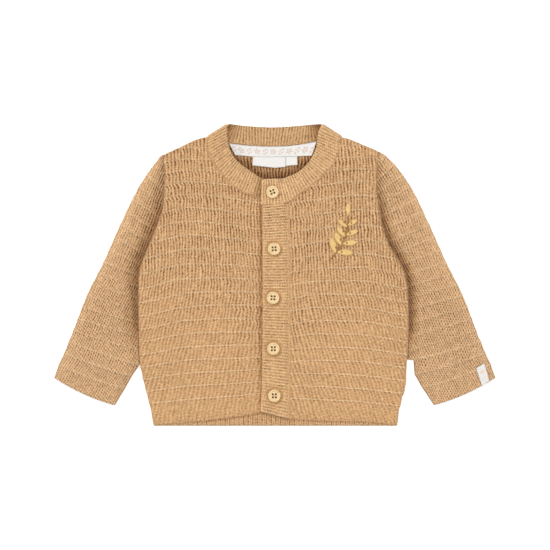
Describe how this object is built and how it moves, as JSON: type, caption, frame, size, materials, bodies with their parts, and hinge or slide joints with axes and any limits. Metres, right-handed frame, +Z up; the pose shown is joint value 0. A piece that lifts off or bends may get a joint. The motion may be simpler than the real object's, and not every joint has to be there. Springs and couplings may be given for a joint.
{
  "type": "button-front baby cardigan",
  "caption": "Knitted baby cardigan laid flat: raised-welt fronts and sleeves, ribbed bands round the neck and down the front, round buttons, and a blank tape and labels inside the neck.",
  "frame": {"origin": "on the surface the garment lies on, under the middle of its outline", "axes": "+X towards the wearer's left sleeve, +Y towards the neck, +Z up out of the front of the garment"},
  "size_m": [0.4014, 0.2746, 0.0099],
  "materials": {
    "body_knit": "matte",
    "rib_knit": "matte",
    "button": "satin",
    "woven_tape": "matte"
  },
  "bodies": {
    "root": {"back": "body_knit", "front_left": "body_knit", "front_right": "body_knit", "sleeve_left": "body_knit", "sleeve_right": "body_knit", "neckband": "rib_knit", "button_band": "rib_knit", "under_band": "rib_knit", "button_1": "button", "button_2": "button", "button_3": "button", "button_4": "button", "button_5": "button", "neck_tape": "woven_tape", "neck_label": "woven_tape", "size_label": "woven_tape", "cuff_label": "woven_tape"}
  },
  "joints": []
}
